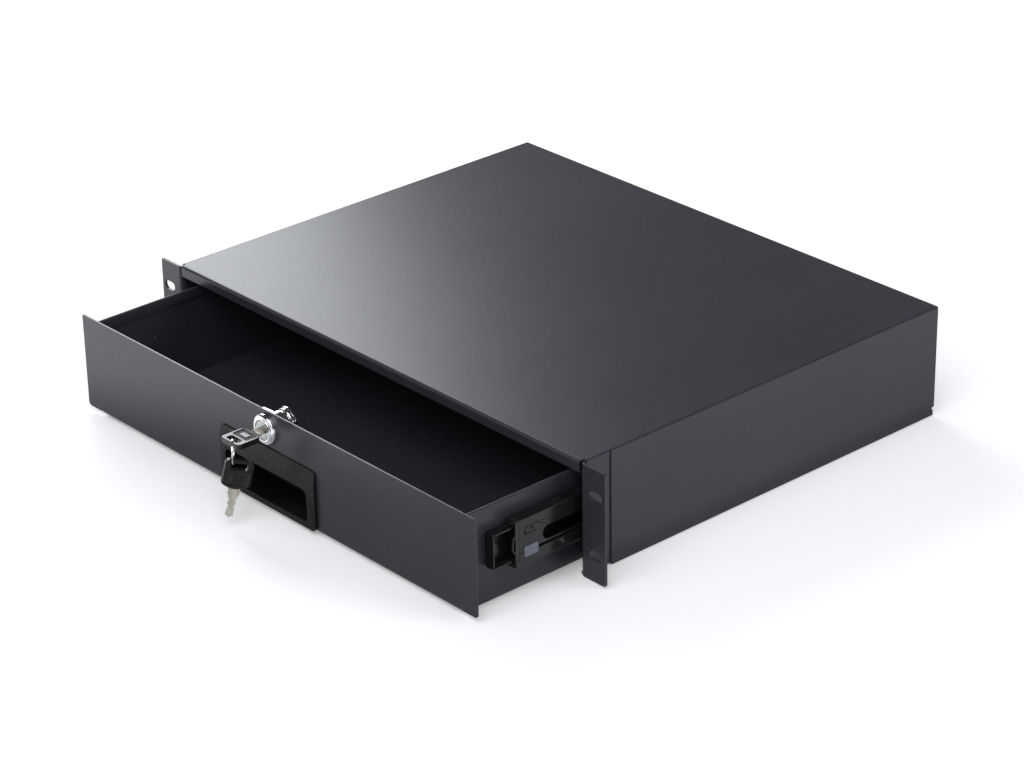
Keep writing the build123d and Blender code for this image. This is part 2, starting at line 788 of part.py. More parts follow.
def keyHeadShape():
    """Moulded head with a ring hole, and on both faces a sunk panel with a small pad in it."""
    half = keyHeadThickness / 2
    head = alongZ(keyHeadOutline(), -half, half)
    head = fillet(head.edges().group_by(Axis.Z)[-1] + head.edges().group_by(Axis.Z)[0], 0.6)
    head = head - alongZ(keyHole(), -half - 1, half + 1)
    panelEnd = -slotFarEdge + keyHoleHeight + 1.8
    panelHalf = keyHeadWidth / 2 - keyPanelMargin
    panel = rect(panelEnd, -keyHeadArch - 0.6, -panelHalf, panelHalf)
    panel = fillet(panel.vertices(), 1.2)
    middle = (panelEnd - keyHeadArch - 0.6) / 2
    panel = panel - Pos(middle, 0) * RectangleRounded(keyPadLength, keyPadWidth, 0.8)
    for z0, z1 in ((half - keyPanelDepth, half + 1), (-half - 1, -half + keyPanelDepth)):
        head = head - alongZ(panel, z0, z1)
    return head - bladeTang()


def bladeTang():
    thick = bladeThickness / 2
    return alongZ(rect(-tangLength, 0, -bladeWidth / 2, bladeWidth / 2), -thick, thick)


def keyBladeShape():
    """Blade with cut edges on both sides, a groove along each face and a point."""
    half = bladeWidth / 2
    depths = (0.9, 1.9, 1.2, 2.2, 1.5)
    pitch = (bladeLength - 9.0) / len(depths)
    edge = [(0, half), (4.5, half)]
    for index, depth in enumerate(depths):
        start = 5.5 + index * pitch
        edge = edge + [(start, half - depth), (start + pitch * 0.55, half - depth)]
    edge = edge + [(bladeLength - 1.6, half - 1.2), (bladeLength, 0.6)]
    lower = [(x, -y) for x, y in reversed(edge)]
    blade = alongZ(outline(edge + lower), -bladeThickness / 2, bladeThickness / 2)
    blade = blade + bladeTang()
    for side in (-1, 1):
        groove = rect(1.0, bladeLength - 3, side * 0.8 - 0.45, side * 0.8 + 0.45)
        z = side * bladeThickness / 2
        blade = blade - alongZ(groove, z - 0.45, z + 0.45)
    return blade


def insertedPlane():
    return Plane(origin=(0, keyStart, lockRise), x_dir=(0, 1, 0), z_dir=(0, 0, 1))


def ringTop():
    """Middle of the ring wire where it lies over the bar of the key head."""
    rise = lockRise + keyHeadThickness / 2 + ringPlay + ringWire / 2
    return ringAcross, keyStart - keyHeadLength + keyBar / 2, rise


def ringCentre():
    x, y, z = ringTop()
    return x, y, z - ringRadius


def ringDirection():
    return -sin(radians(ringTurn)), cos(radians(ringTurn)), 0


def keyRing():
    dx, dy, dz = ringDirection()
    plane = Plane(origin=ringCentre(), x_dir=(dx, dy, dz), z_dir=(-dy, dx, 0))
    return plane * Torus(ringRadius, ringWire / 2)


def sparePlane():
    """Frame of the spare key: it hangs from the lowest point of the ring."""
    acrossX, acrossY = cos(radians(spareTurn)), sin(radians(spareTurn))
    lean = radians(spareTilt)
    down = (-sin(lean) * acrossX, -sin(lean) * acrossY, -cos(lean))
    normal = (acrossY, -acrossX, 0)
    x, y, z = ringCentre()
    hang = (x, y, z - ringRadius)
    frame = Plane(origin=hang, x_dir=down, z_dir=normal)
    along = slotFarEdge - ringWire / 2 - ringPlay
    start = frame.from_local_coords((along, spareShift, 0))
    return Plane(origin=start, x_dir=down, z_dir=normal)


def savePair(name, shape):
    save(name + "_right", shape)
    save(name + "_left", mirror(shape, about=Plane.YZ))


save("chassis_base", chassisBase())
save("case_cover", caseCover())
save("cover_screws", coverScrews())
savePair("slide_outer", slideOuter())
savePair("slide_outer_screws", slideOuterScrews())
savePair("slide_middle", slideMiddle())
savePair("front_stop", frontStop())
savePair("latch_pad", latchPad())
savePair("slide_inner", slideInner())
savePair("slide_inner_screws", slideInnerScrews())
savePair("outer_cage", cage(outerCageFront, outerCageOut, outerRaceRise, outerRaceAcross, outerBall))
savePair("outer_balls", balls(outerCageFront, outerRaceRise, outerRaceAcross, outerBall))
savePair("inner_cage", cage(innerCageFront, innerCageOut, innerRaceRise, innerRaceAcross, innerBall))
savePair("inner_balls", balls(innerCageFront, innerRaceRise, innerRaceAcross, innerBall))
save("drawer_tray", drawerTray())
save("handle_cup", handleCup())
save("lock_housing", lockHousing())
save("lock_nut", lockNut())
save("lock_plug", lockPlug())
save("lock_cam", lockCam())
save("cam_nut", camNut())
save("key_blade", insertedPlane() * keyBladeShape())
save("key_head", insertedPlane() * keyHeadShape())
save("key_ring", keyRing())
save("spare_key_blade", sparePlane() * keyBladeShape())
save("spare_key_head", sparePlane() * keyHeadShape())
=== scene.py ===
import json
from math import radians

import bmesh
import bpy
from mathutils import Matrix, Vector


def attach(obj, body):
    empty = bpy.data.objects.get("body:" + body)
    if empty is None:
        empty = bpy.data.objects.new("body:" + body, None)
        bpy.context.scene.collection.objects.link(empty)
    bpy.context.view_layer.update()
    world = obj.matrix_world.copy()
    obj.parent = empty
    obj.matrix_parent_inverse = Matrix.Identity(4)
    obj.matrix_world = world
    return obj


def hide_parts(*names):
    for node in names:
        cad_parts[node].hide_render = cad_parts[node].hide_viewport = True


# Rack drawer: powder coated case and tray, telescopic slides, pull handle, cam lock with two keys.
# X runs across the front, Y runs back into the rack, Z runs up.
# Metres, but the dictionaries of pieces are in mm. Angles are in degrees.

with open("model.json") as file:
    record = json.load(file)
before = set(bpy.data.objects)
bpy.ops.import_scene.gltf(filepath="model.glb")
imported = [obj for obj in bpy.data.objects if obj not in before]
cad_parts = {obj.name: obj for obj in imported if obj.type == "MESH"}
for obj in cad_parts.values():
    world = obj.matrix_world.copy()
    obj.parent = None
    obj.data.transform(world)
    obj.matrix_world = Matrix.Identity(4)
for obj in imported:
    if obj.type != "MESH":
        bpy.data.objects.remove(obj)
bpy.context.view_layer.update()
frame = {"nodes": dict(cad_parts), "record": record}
cadNodes = frame["nodes"]
behaviour = frame["record"]["behaviour"]
bodyOf = {node: body for body, members in behaviour["bodies"].items() for node in members}
pivots = {joint["name"]: Vector(joint["pos_m"]) for joint in behaviour["joints"] if "pos_m" in joint}
mm = 0.001
weldWithin = 0.000002
flatWithin = 0.6


# Small tools for working on one piece at a time

def deselectAll():
    if bpy.context.object and bpy.context.object.mode != "OBJECT":
        bpy.ops.object.mode_set(mode="OBJECT")
    bpy.ops.object.select_all(action="DESELECT")


def work(piece):
    deselectAll()
    piece.select_set(True)
    bpy.context.view_layer.objects.active = piece


def edit(piece, kind="FACE"):
    work(piece)
    bpy.ops.object.mode_set(mode="EDIT")
    bpy.ops.mesh.select_mode(type=kind)
    bpy.ops.mesh.select_all(action="DESELECT")


def pickFaces(piece, test):
    cage = bmesh.from_edit_mesh(piece.data)
    for face in cage.faces:
        if test(face.calc_center_median(), face.normal):
            face.select_set(True)
    bmesh.update_edit_mesh(piece.data)


def pickEdges(piece, test):
    cage = bmesh.from_edit_mesh(piece.data)
    for edge in cage.edges:
        if test((edge.verts[0].co + edge.verts[1].co) / 2):
            edge.select_set(True)
    bmesh.update_edit_mesh(piece.data)


def weldAll():
    bpy.ops.mesh.select_all(action="SELECT")
    bpy.ops.mesh.remove_doubles(threshold=weldWithin)


def applyModifier(piece, kind, **settings):
    work(piece)
    modifier = piece.modifiers.new(kind.title(), kind)
    for key, value in settings.items():
        setattr(modifier, key, value)
    bpy.ops.object.modifier_apply(modifier=modifier.name)


def settle(piece, smooth=50):
    # flat faces stay flat in shade, and the eased edges between them turn softly
    work(piece)
    bpy.ops.object.transform_apply(location=True, rotation=True, scale=True)
    bpy.ops.object.shade_smooth_by_angle(angle=radians(smooth))
    applyModifier(piece, "WEIGHTED_NORMAL", mode="FACE_AREA", weight=100, keep_sharp=True)


def camel(node):
    first, *rest = node.split("_")
    return first + "".join(word.title() for word in rest)


def mergedCopy(node, wholeFaces=True):
    # the CAD piece's own shape as one joined skin, ready for rounding
    piece = bpy.data.objects.new(camel(node), cadNodes[node].data.copy())
    bpy.context.scene.collection.objects.link(piece)
    edit(piece, "VERT")
    weldAll()
    if wholeFaces:
        bpy.ops.mesh.dissolve_limited(angle_limit=radians(flatWithin))
    bpy.ops.object.mode_set(mode="OBJECT")
    return piece


def easeEdges(piece, ease, angle=32, segments=2, clamp=False):
    applyModifier(piece, "BEVEL", width=ease * mm, segments=segments, limit_method="ANGLE",
                  angle_limit=radians(angle), use_clamp_overlap=clamp)
    settle(piece)


def standFor(piece, node):
    # shown in place of the CAD piece, moving with the same body
    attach(piece, bodyOf[node])
    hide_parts(node)


def turnedRing(name, profile, sides):
    # a round piece about the lock's axis, drawn out ring by ring: (radius, distance behind the face)
    face, rise = lock["face"], lock["rise"]
    radius, back = profile[0]
    deselectAll()
    bpy.ops.mesh.primitive_circle_add(vertices=sides, radius=radius * mm, fill_type="NOTHING",
                                      location=(0, face + back * mm, rise), rotation=(radians(90), 0, 0))
    piece = bpy.context.object
    piece.name = name
    bpy.ops.object.transform_apply(location=True, rotation=True)
    bpy.ops.object.mode_set(mode="EDIT")
    bpy.ops.mesh.select_mode(type="VERT")
    bpy.ops.mesh.select_all(action="SELECT")
    for nextRadius, nextBack in profile[1:]:
        shift = (nextBack - back) * mm
        growth = nextRadius / radius
        bpy.ops.mesh.extrude_region_move(TRANSFORM_OT_translate={"value": (0, shift, 0)})
        bpy.ops.transform.resize(value=(growth, 1, growth), center_override=(0, face, rise))
        radius, back = nextRadius, nextBack
    weldAll()
    bpy.ops.mesh.normals_make_consistent(inside=False)
    bpy.ops.object.mode_set(mode="OBJECT")
    return piece


def joined(first, *others):
    deselectAll()
    for piece in (first, *others):
        piece.select_set(True)
    bpy.context.view_layer.objects.active = first
    bpy.ops.object.join()
    return first


# Small tools for shading: the owner of the nodes is a material or the world

def addNode(owner, kind, **values):
    node = owner.node_tree.nodes.new(kind)
    for key, value in values.items():
        if key in node.inputs:
            node.inputs[key].default_value = value
        else:
            setattr(node, key, value)
    return node


def link(owner, source, target):
    owner.node_tree.links.new(source, target)


def feed(owner, source, target):
    # a bare number is set, anything else is linked
    if isinstance(source, float):
        target.default_value = source
    else:
        link(owner, source, target)


def combine(owner, operation, first, second):
    node = addNode(owner, "ShaderNodeMath", operation=operation)
    feed(owner, first, node.inputs[0])
    feed(owner, second, node.inputs[1])
    return node.outputs[0]


def choose(owner, share, low, high):
    node = addNode(owner, "ShaderNodeMix")
    feed(owner, share, node.inputs[0])
    feed(owner, low, node.inputs[2])
    feed(owner, high, node.inputs[3])
    return node.outputs[0]


def spread(owner, source, low, high, fromLow=0.3, fromHigh=0.7, kind="LINEAR"):
    ramp = addNode(owner, "ShaderNodeMapRange", interpolation_type=kind)
    for socket, value in {"From Min": fromLow, "From Max": fromHigh, "To Min": low, "To Max": high}.items():
        ramp.inputs[socket].default_value = value
    link(owner, source, ramp.inputs["Value"])
    return ramp.outputs["Result"]


def newMaterial(name, colour, roughness, metallic=0.0, specular=0.5):
    material = bpy.data.materials.new(name)
    material.use_nodes = True
    shader = material.node_tree.nodes["Principled BSDF"]
    shader.inputs["Base Color"].default_value = (*colour, 1)
    shader.inputs["Roughness"].default_value = roughness
    shader.inputs["Metallic"].default_value = metallic
    shader.inputs["Specular IOR Level"].default_value = specular
    return material


def placeOnObject(material, stretch=(1, 1, 1)):
    coordinates = addNode(material, "ShaderNodeTexCoord")
    mapping = addNode(material, "ShaderNodeMapping", Scale=stretch)
    link(material, coordinates.outputs["Object"], mapping.inputs["Vector"])
    return mapping.outputs["Vector"]


def addNoise(material, place, scale, detail=3.0, rough=0.55):
    noise = addNode(material, "ShaderNodeTexNoise", Scale=scale, Detail=detail, Roughness=rough)
    link(material, place, noise.inputs["Vector"])
    return noise.outputs["Fac"]


def toShader(material, source, socket):
    link(material, source, material.node_tree.nodes["Principled BSDF"].inputs[socket])


def tint(material, source, dark, light, fromLow=0.3, fromHigh=0.7):
    ramp = addNode(material, "ShaderNodeValToRGB")
    ramp.color_ramp.elements[0].position = fromLow
    ramp.color_ramp.elements[0].color = (*dark, 1)
    ramp.color_ramp.elements[1].position = fromHigh
    ramp.color_ramp.elements[1].color = (*light, 1)
    link(material, source, ramp.inputs["Fac"])
    toShader(material, ramp.outputs["Color"], "Base Color")


def shade(material, source, look, *reach):
    # the look's colour, from its darker to its lighter share
    dark, light = (tuple(min(1, part * share) for part in look["colour"]) for share in look["shades"])
    tint(material, source, dark, light, *reach)


def gloss(material, source, look):
    low, high = look["roughness"] - look["glossDrift"][0], look["roughness"] + look["glossDrift"][1]
    toShader(material, spread(material, source, low, high), "Roughness")


def relief(material, source, strength, distance, under=None):
    bump = addNode(material, "ShaderNodeBump", Strength=strength, Distance=distance)
    link(material, source, bump.inputs["Height"])
    if under:
        link(material, under, bump.inputs["Normal"])
    return bump.outputs["Normal"]


def dress(piece, material):
    piece.data.materials.clear()
    piece.data.materials.append(material)


# Materials

powder = {
    "colour": (0.033, 0.035, 0.043), "shades": (0.92, 1.08), "drift": 9, "specular": 0.4,
    "roughness": 0.30, "glossDrift": (0.05, 0.05),
    "peel": 1500, "peelRelief": 0.35, "peelHeight": 0.00006,
    "fleck": 3900, "fleckRelief": 0.25, "fleckHeight": 0.00002,
}


def powderCoat(name, look):
    # fine orange peel of a baked powder coat, with a faint drift in shade and gloss
    material = newMaterial(name, look["colour"], look["roughness"], specular=look["specular"])
    place = placeOnObject(material)
    shade(material, addNoise(material, place, look["drift"], 2), look)
    peel = addNoise(material, place, look["peel"], 2, 0.5)
    fleck = addNoise(material, place, look["fleck"], 1)
    gloss(material, peel, look)
    fine = relief(material, fleck, look["fleckRelief"], look["fleckHeight"])
    toShader(material, relief(material, peel, look["peelRelief"], look["peelHeight"], fine), "Normal")
    return material


slideCoat = {
    "colour": (0.007, 0.007, 0.008), "shades": (0.8, 1.5), "roughness": 0.16, "glossDrift": (0.03, 0.05),
    "cloud": 60, "streak": 900, "streakStretch": (1, 0.02, 1), "streakRelief": 0.3, "streakHeight": 0.000004,
}


def slideBlack(name, look):
    # black plated strip steel with drawing lines along the slide
    material = newMaterial(name, look["colour"], look["roughness"])
    lines = addNoise(material, placeOnObject(material, look["streakStretch"]), look["streak"])
    gloss(material, addNoise(material, placeOnObject(material), look["cloud"]), look)
    shade(material, lines, look)
    toShader(material, relief(material, lines, look["streakRelief"], look["streakHeight"]), "Normal")
    return material


mould = {
    # the shades paint highlight on the grain's crowns and shade in its grooves
    "colour": (0.005, 0.005, 0.005), "shades": (5, 0.6), "specular": 0.3,
    "roughness": 0.48, "glossDrift": (0.07, 0.1),
    "cells": 950, "cellBlend": 0.6, "crownHighlightReach": (0.08, 0.45), "cellRelief": -0.6, "cellDepth": 0.00010,
    "speckle": 3800, "speckleRelief": 0.2, "speckleDepth": 0.00010 / 6,
}


def leatherPlastic(name, look):
    # moulded plastic with a leather grain: cells whose crowns are painted lighter as highlight speckle, and
    # the grooves between them painted darker as shade
    material = newMaterial(name, look["colour"], look["roughness"], specular=look["specular"])
    place = placeOnObject(material)
    cells = addNode(material, "ShaderNodeTexVoronoi", Scale=look["cells"], feature="SMOOTH_F1",
                    Smoothness=look["cellBlend"])
    link(material, place, cells.inputs["Vector"])
    pebbles = cells.outputs["Distance"]
    # painted highlight and shade: the colour runs from five times the base on the crowns to darker than the
    # base in the grooves
    shade(material, pebbles, look, *look["crownHighlightReach"])
    gloss(material, pebbles, look)
    speckle = addNoise(material, place, look["speckle"], 2)
    fine = relief(material, speckle, look["speckleRelief"], look["speckleDepth"])
    toShader(material, relief(material, pebbles, look["cellRelief"], look["cellDepth"], fine), "Normal")
    return material


smoothMoulding = {
    "shades": (0.85, 1.2), "glossDrift": (0.05, 0.07), "flow": 220, "skin": 1400, "skinRelief": 0.2,
    "skinHeight": 0.00001,
}
plastics = {
    "stopBlackPlastic": {"colour": (0.012, 0.012, 0.013), "roughness": 0.3},
    "padGreyPlastic": {"colour": (0.12, 0.135, 0.17), "roughness": 0.34},
    "keyGlossPlastic": {"colour": (0.010, 0.010, 0.011), "roughness": 0.2},
    "keyPanelPlastic": {"colour": (0.012, 0.012, 0.014), "roughness": 0.55, "skinHeight": 0.00003},
    "screwBlackOxide": {"colour": (0.014, 0.014, 0.015), "roughness": 0.34},
}


def mouldedPlastic(name, look):
    # smooth moulding with faint flow marks
    material = newMaterial(name, look["colour"], look["roughness"])
    place = placeOnObject(material)
    flow = addNoise(material, place, look["flow"])
    shade(material, flow, look)
    gloss(material, flow, look)
    skin = addNoise(material, place, look["skin"], 2)
    toShader(material, relief(material, skin, look["skinRelief"], look["skinHeight"]), "Normal")
    return material


plated = {"metallic": 1.0, "stretch": (1, 1, 1), "lineRelief": 0.25, "lineHeight": 0.000004}
metals = {
    "lockChrome": {"dark": (0.80, 0.81, 0.84), "light": (0.93, 0.93, 0.95), "roughness": 0.07,
                   "glossDrift": (0.03, 0.03), "cloud": 180},
    "plugZinc": {"dark": (0.40, 0.42, 0.40), "light": (0.56, 0.58, 0.55), "roughness": 0.20,
                 "glossDrift": (0.04, 0.04), "cloud": 240},
    "keyNickel": {"dark": (0.66, 0.62, 0.54), "light": (0.90, 0.86, 0.77), "roughness": 0.30,
                  "glossDrift": (0.08, 0.08), "cloud": 260, "stretch": (1, 1, 0.2), "lineHeight": 0.00001,
                  "metallic": 0.7},
    "ringSteel": {"dark": (0.66, 0.66, 0.68), "light": (0.88, 0.88, 0.90), "roughness": 0.16,
                  "glossDrift": (0.05, 0.05), "cloud": 300},
    "screwZinc": {"dark": (0.48, 0.50, 0.52), "light": (0.74, 0.76, 0.78), "roughness": 0.32,
                  "glossDrift": (0.10, 0.10), "cloud": 420},
    "cageZinc": {"dark": (0.42, 0.43, 0.44), "light": (0.66, 0.67, 0.68), "roughness": 0.38,
                 "glossDrift": (0.10, 0.10), "cloud": 300, "stretch": (1, 0.1, 1)},
    "ballSteel": {"dark": (0.74, 0.74, 0.76), "light": (0.90, 0.90, 0.91), "roughness": 0.08,
                  "glossDrift": (0.03, 0.03), "cloud": 500},
}


def plating(name, look):
    # plated metal: tone and gloss drift slowly, with polishing lines where stretched
    material = newMaterial(name, look["light"], look["roughness"], metallic=look["metallic"])
    place = placeOnObject(material, look["stretch"])
    drift = addNoise(material, place, look["cloud"], 4)
    tint(material, drift, look["dark"], look["light"])
    gloss(material, drift, look)
    lines = addNoise(material, place, look["cloud"] * 4, 2)
    toShader(material, relief(material, lines, look["lineRelief"], look["lineHeight"]), "Normal")
    return material


caseCoat = powderCoat("casePowderCoat", powder)
trayCoat = powderCoat("trayPowderCoat", powder)
railCoat = slideBlack("slideBlackCoat", slideCoat)
handlePlastic = leatherPlastic("handleLeatherPlastic", mould)
plastic = {name: mouldedPlastic(name, smoothMoulding | look) for name, look in plastics.items()}
metal = {name: plating(name, plated | look) for name, look in metals.items()}

nodeMaterials = {
    "chassis_base": caseCoat, "case_cover": caseCoat, "cover_screws": plastic["screwBlackOxide"],
    "drawer_tray": trayCoat, "handle_cup": handlePlastic, "lock_housing": metal["lockChrome"],
    "lock_nut": metal["screwZinc"], "lock_plug": metal["plugZinc"], "lock_cam": metal["lockChrome"],
    "cam_nut": metal["lockChrome"], "key_blade": metal["keyNickel"], "key_head": plastic["keyGlossPlastic"],
    "key_ring": metal["ringSteel"], "spare_key_blade": metal["keyNickel"],
    "spare_key_head": plastic["keyGlossPlastic"],
}
sideMaterials = {
    "slide_outer": railCoat, "slide_outer_screws": metal["screwZinc"], "slide_middle": railCoat,
    "front_stop": plastic["stopBlackPlastic"], "latch_pad": plastic["padGreyPlastic"],
    "slide_inner": railCoat, "slide_inner_screws": metal["screwZinc"],
    "outer_cage": metal["cageZinc"], "outer_balls": metal["ballSteel"],
    "inner_cage": metal["cageZinc"], "inner_balls": metal["ballSteel"],
}
for part, material in sideMaterials.items():
    for side in ("left", "right"):
        nodeMaterials[part + "_" + side] = material
for node, material in nodeMaterials.items():
    dress(cadNodes[node], material)
print("materials:", len(nodeMaterials), "nodes dressed")


# Pieces whose CAD shape is right: the same shape with its edges eased

edgeEase = {
    "chassis_base": 0, "case_cover": 0, "drawer_tray": 0, "handle_cup": 0.3, "cover_screws": 0.12,
    "lock_nut": 0.2, "lock_plug": 0.12, "lock_cam": 0.2, "key_blade": 0.12, "spare_key_blade": 0.12,
}
sideEase = {
    "slide_outer": 0.2, "slide_outer_screws": 0.1, "slide_middle": 0.22, "front_stop": 0.25, "latch_pad": 0.2,
    "slide_inner": 0.2, "slide_inner_screws": 0.12, "outer_cage": 0, "outer_balls": 0, "inner_cage": 0,
    "inner_balls": 0,
}
uneasedSmooth = 32
for part, ease in sideEase.items():
    for side in ("left", "right"):
        edgeEase[part + "_" + side] = ease
for node, ease in edgeEase.items():
    # the cut round the middle member's tongue only shades well on its small faces
    piece = mergedCopy(node, wholeFaces=not node.startswith("slide_middle"))
    if ease:
        easeEdges(piece, ease, clamp=node == "handle_cup")
    else:
        settle(piece, uneasedSmooth)
    standFor(piece, node)
print("eased pieces:", len(edgeEase))


# Lock: everything turned about one axis

lock = {
    "face": pivots["lock_turn"].y, "rise": pivots["lock_turn"].z, "smooth": 35,
    "bezelSides": 128, "bezel": [
        (7.25, 0), (7.25, -4.3), (7.45, -4.6), (7.7, -4.7), (8.5, -4.7), (8.75, -4.62), (8.9, -4.4),
        (8.95, -3.6), (9.25, -3.6), (9.35, -4.02), (9.7, -3.98), (10.2, -3.8), (10.7, -3.45), (11.1, -2.95),
        (11.4, -2.35), (11.55, -1.7), (11.6, -1.1), (11.6, -0.25), (11.5, 0), (7.25, 0)
    ],
    "barrelSides": 72, "bore": 7.25, "barrelBack": 12.2, "endChamfer": 0.3, "flat": 8.4,
    "threadOuter": 9.5, "threadInner": 9.15, "threadPitch": 1.0, "threadStart": 1.6, "threadEnd": 7.2,
    "nutSides": 96, "nut": [
        (3.1, 14.2), (5.9, 14.2), (6.1, 14.35), (6.4, 14.2), (7.6, 14.25), (8.6, 14.42), (9.2, 14.75),
        (9.55, 15.3), (9.7, 16.0), (9.7, 16.75), (10.1, 16.85), (10.4, 17.0), (10.5, 17.3), (10.5, 18.0),
        (10.4, 18.3), (10.1, 18.4), (3.1, 18.4), (3.1, 14.2)
    ],
}


def threadedBarrel(look):
    # a ridged sleeve with a flat on each side, as the hole in the face has
    bore, outer = look["bore"], look["threadOuter"]
    end, chamfer = look["barrelBack"], look["endChamfer"]
    profile = [(bore, 0), (outer, 0)]
    back = look["threadStart"]
    while back + look["threadPitch"] < look["threadEnd"]:
        profile.append((outer, back))
        profile.append((look["threadInner"], back + look["threadPitch"] * 0.5))
        back = back + look["threadPitch"]
    profile.extend([(outer, end - chamfer), (outer - chamfer, end), (bore, end), (bore, 0)])
    barrel = turnedRing("threadedBarrel", profile, look["barrelSides"])
    for side in (-1, 1):
        edit(barrel, "VERT")
        bpy.ops.mesh.select_all(action="SELECT")
        bpy.ops.mesh.bisect(plane_co=(side * look["flat"] * mm, 0, 0), plane_no=(side, 0, 0), use_fill=True,
                            clear_outer=True)
    bpy.ops.object.mode_set(mode="OBJECT")
    return barrel


def finishTurned(piece, node):
    dress(piece, metal["lockChrome"])
    settle(piece, lock["smooth"])
    standFor(piece, node)


housing = joined(turnedRing("lockHousing", lock["bezel"], lock["bezelSides"]), threadedBarrel(lock))
finishTurned(housing, "lock_housing")
finishTurned(turnedRing("camNut", lock["nut"], lock["nutSides"]), "cam_nut")
print("lock turned")


# Keys: the same head twice, each with a point in its middle plane and the direction of its thickness

keyPlaces = {
    "key_head": {"start": pivots["lock_turn"], "through": (0, 0, 1)},
    "spare_key_head": {"start": pivots["spare_key_swing"], "through": (0.86603, -0.5, 0)},
}
keyLook = {
    "edge": 0.35, "edgeAngle": 40, "edgeSegments": 3, "panelLevel": 1.5, "levelPlay": 0.03, "facing": 0.99,
}


def keyHead(node, place, look):
    # moulded head: polished rim and pad, dull floor in the sunk panels
    head = mergedCopy(node)
    easeEdges(head, look["edge"], look["edgeAngle"], look["edgeSegments"])
    dress(head, plastic["keyGlossPlastic"])
    head.data.materials.append(plastic["keyPanelPlastic"])
    start, through = Vector(place["start"]), Vector(place["through"])

    def onPanel(centre, normal):
        level = abs((centre - start).dot(through)) - look["panelLevel"] * mm
        return abs(level) < look["levelPlay"] * mm and abs(normal.dot(through)) > look["facing"]

    edit(head)
    pickFaces(head, onPanel)
    head.active_material_index = 1
    bpy.ops.object.material_slot_assign()
    bpy.ops.object.mode_set(mode="OBJECT")
    standFor(head, node)


for node, place in keyPlaces.items():
    keyHead(node, place, keyLook)
print("key heads moulded")


# Split ring: a flat wire wound twice round, its two ends a little apart

splitRing = {
    "drop": 5.7, "radius": 8.7, "turn": 49, "windings": 1.94, "steps": 150, "smooth": 40,
    "wireAcross": 0.56, "wireDeep": 1.1, "wireCorner": 0.2, "cornerSegments": 3, "pitchShare": 1.08,
    "startThickness": 0.1,
}


def windRing(look):
    across, pitch = look["wireAcross"] * mm, look["wireAcross"] * mm * look["pitchShare"]
    deselectAll()
    bpy.ops.mesh.primitive_cube_add(size=1, location=(look["radius"] * mm, 0, 0),
                                    scale=(look["wireDeep"] * mm, look["startThickness"] * mm, across))
    ring = bpy.context.object
    ring.name = "splitRing"
    bpy.ops.object.transform_apply(location=True, scale=True)
    # only the wire's outline is left of the block, with its corners rounded
    edit(ring)
    pickFaces(ring, lambda centre, normal: normal.y < 0.9)
    bpy.ops.mesh.delete(type="ONLY_FACE")
    bpy.ops.mesh.select_mode(type="EDGE")
    bpy.ops.mesh.select_all(action="DESELECT")
    pickEdges(ring, lambda middle: middle.y < 0)
    bpy.ops.mesh.delete(type="EDGE")
    bpy.ops.mesh.select_all(action="SELECT")
    bpy.ops.mesh.bevel(offset=look["wireCorner"] * mm, segments=look["cornerSegments"], affect="VERTICES")
    bpy.ops.mesh.delete(type="ONLY_FACE")
    bpy.ops.object.mode_set(mode="OBJECT")
    applyModifier(ring, "SCREW", angle=radians(360 * look["windings"]), screw_offset=pitch,
                  steps=look["steps"], render_steps=look["steps"], axis="Z")
    edit(ring, "EDGE")
    weldAll()
    bpy.ops.mesh.select_all(action="DESELECT")
    bpy.ops.mesh.select_non_manifold()
    bpy.ops.mesh.fill_holes(sides=0)
    bpy.ops.mesh.select_all(action="SELECT")
    bpy.ops.mesh.normals_make_consistent(inside=False)
    bpy.ops.transform.translate(value=(0, 0, -pitch / 2))
    bpy.ops.object.mode_set(mode="OBJECT")
    centre = pivots["ring_swing"] - Vector((0, 0, look["drop"] * mm))
    stand = Matrix.Rotation(radians(look["turn"]), 4, "Z") @ Matrix.Rotation(radians(90), 4, "Y")
    ring.matrix_world = Matrix.Translation(centre) @ stand
    settle(ring, look["smooth"])
    dress(ring, metal["ringSteel"])
    standFor(ring, "key_ring")


windRing(splitRing)
print("ring wound")


# Camera, lights, floor

camera = {
    "place": (1.6157, -1.2986, 1.0377), "turn": 48.467, "tilt": 26.18, "roll": -1.008, "lens": 115.45,
    "sensor": 36, "farEnd": 200,
}
lamps = {
    "glareBox": {"place": (-1.43, 0.49, 0.86), "aim": (-0.05, 0.1, 0.04), "size": (1.2, 0.8), "roll": 14,
                 "power": 18, "mirrored": True},
    "frontHigh": {"place": (0.45, -1.3, 1.75), "aim": (0, 0, 0), "size": (1.4, 1.4), "power": 20,
                  "mirrored": True},
    "frontLeft": {"place": (-1.5, -1.7, 0.9), "aim": (-0.1, -0.1, 0), "size": (1.0, 1.0), "power": 3,
                  "mirrored": False},
    "rightBack": {"place": (1.9, 0.9, 0.9), "aim": (0.4, 0.1, 0), "size": (1.0, 1.0), "power": 15,
                  "mirrored": False},
    "edgeStrip": {"place": (0.9, -0.6, 1.6), "aim": (0.2, 0, 0), "size": (0.15, 1.6), "power": 4,
                  "mirrored": True},
    "eyeSide": {"place": (1.5, -1.35, 1.15), "aim": (0, 0, 0), "size": (1.0, 1.0), "power": 3,
                "mirrored": True},
}
studio = {
    "lampColour": (0.94, 0.965, 1.0),
    "floorHeight": -0.0441, "floorSize": 60, "floorColour": (0.86, 0.86, 0.87), "floorRoughness": 0.9,
    "glow": (0.26, 0.80), "glowReach": (0.8, 2.6),
    # painted reflection of the floor, as a gloss sees it
    "paintedReflectionColour": (0.95, 0.97, 1, 1),
    "card": (0.36, 1.8), "paintedCardEdge": (0.15, 0.29), "paintedCardTowards": (-0.45, -1, 0),
    "rightSide": (0.62, 0.92), "rightReach": (0.22, 0.36), "rightStart": 0.235,
    "sky": (1.0, 0.05), "skyFade": (0.10, 0.30), "skyFill": 0.28, "skySeen": 1.0,
}


